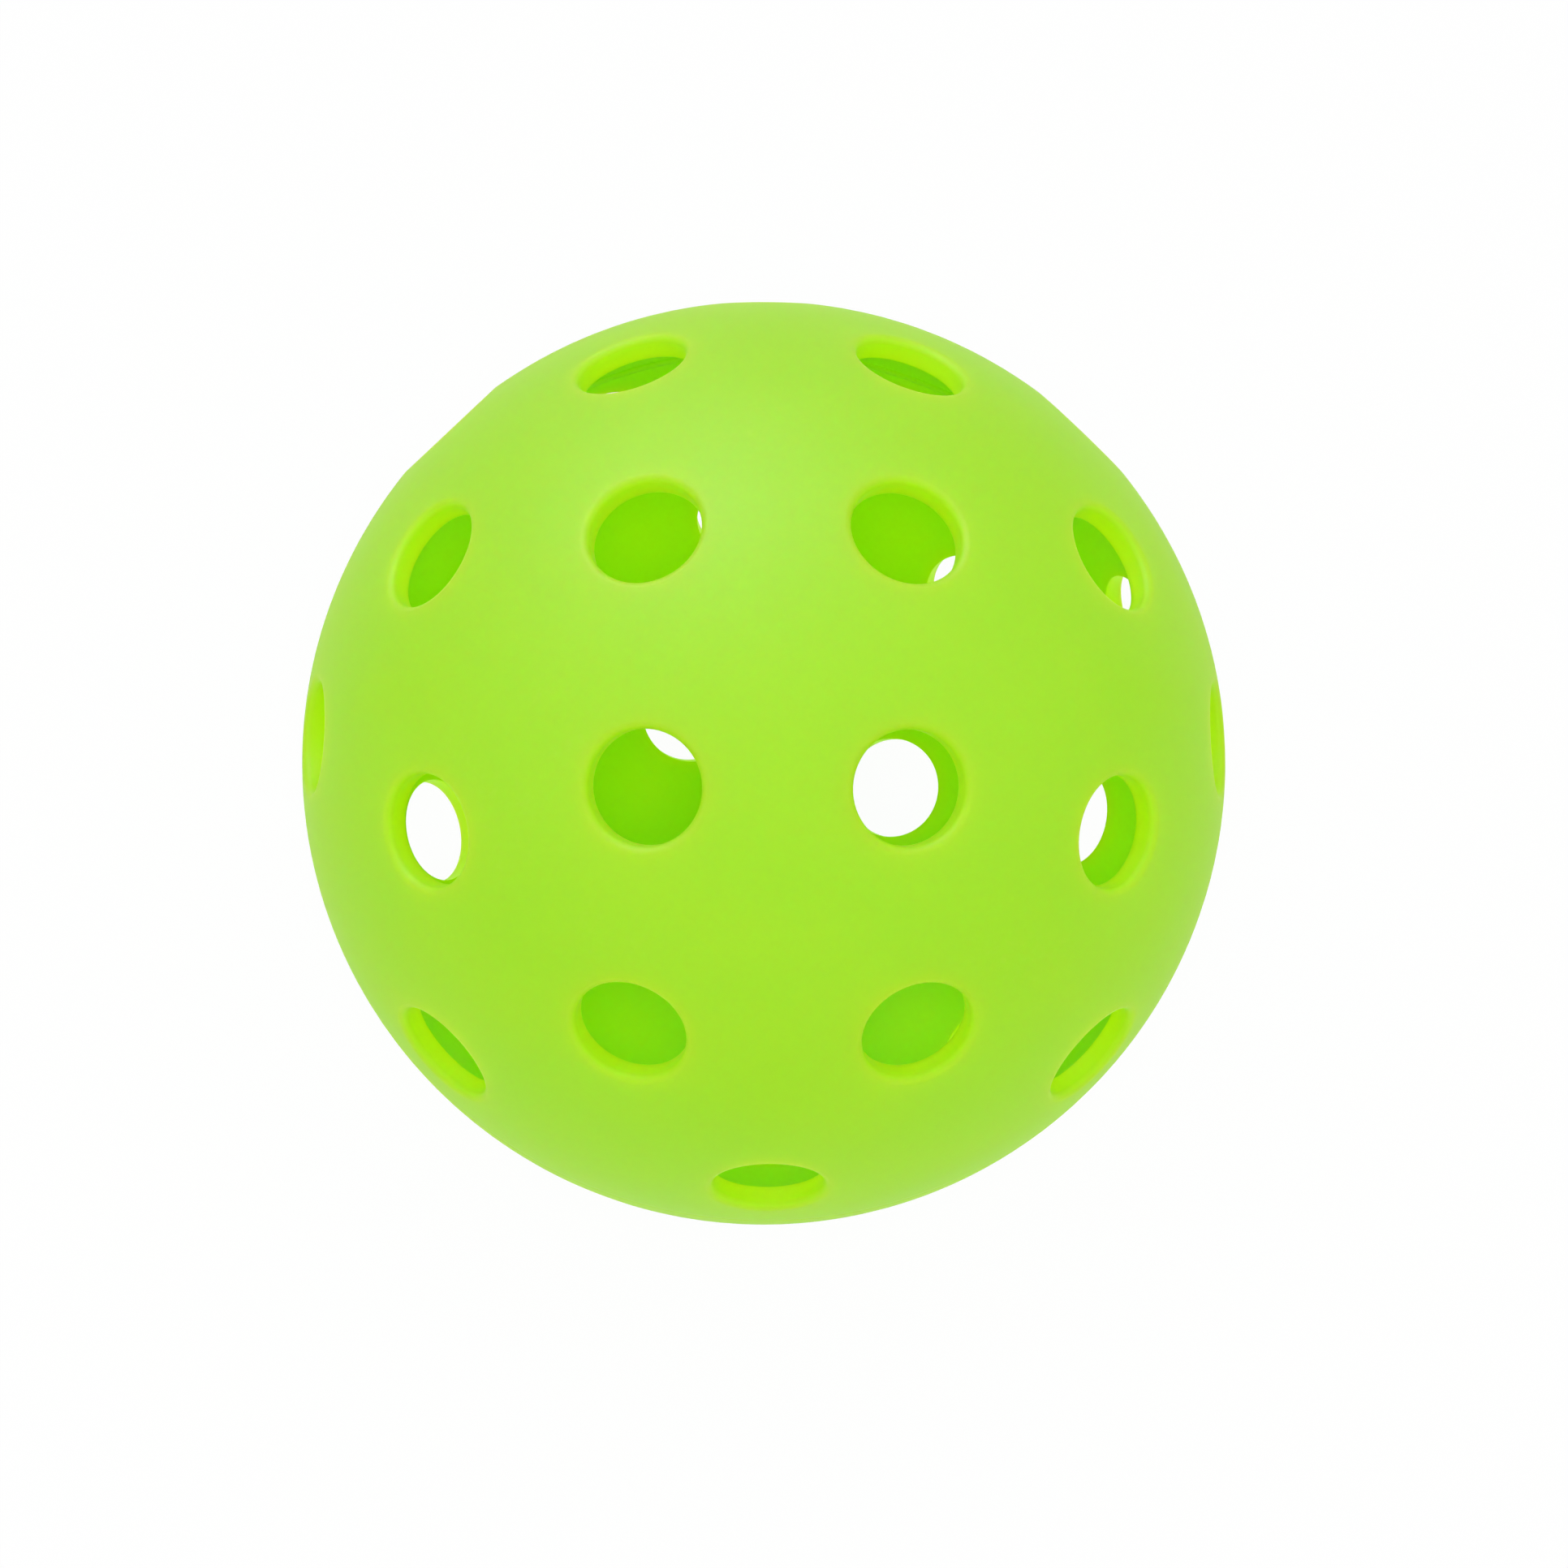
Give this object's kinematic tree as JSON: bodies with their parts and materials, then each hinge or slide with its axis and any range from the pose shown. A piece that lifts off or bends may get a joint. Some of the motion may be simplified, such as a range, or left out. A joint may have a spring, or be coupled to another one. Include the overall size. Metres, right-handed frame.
{
  "type": "pickleball",
  "caption": "Hollow perforated plastic ball for pickleball, moulded as two half shells with rounded round holes and welded along a lapped seam.",
  "frame": {"origin": "centre of the ball, in the plane of the seam between its two halves", "axes": "+Z along the moulding axis, from the lower half to the upper half; +X through a hole of the upper half's ring nearest the seam, when seen from above"},
  "size_m": [0.074, 0.074, 0.074],
  "materials": {
    "upper_half_plastic": "satin moulded plastic, bright yellow-green, slightly translucent",
    "lower_half_plastic": "satin moulded plastic, bright yellow-green, slightly translucent",
    "weld_bead_plastic": "remelted plastic of the same colour, a little smoother and deeper in tone"
  },
  "bodies": {
    "root": {"upper_half_shell": "upper_half_plastic", "lower_half_shell": "lower_half_plastic", "weld_bead": "weld_bead_plastic"}
  },
  "joints": []
}
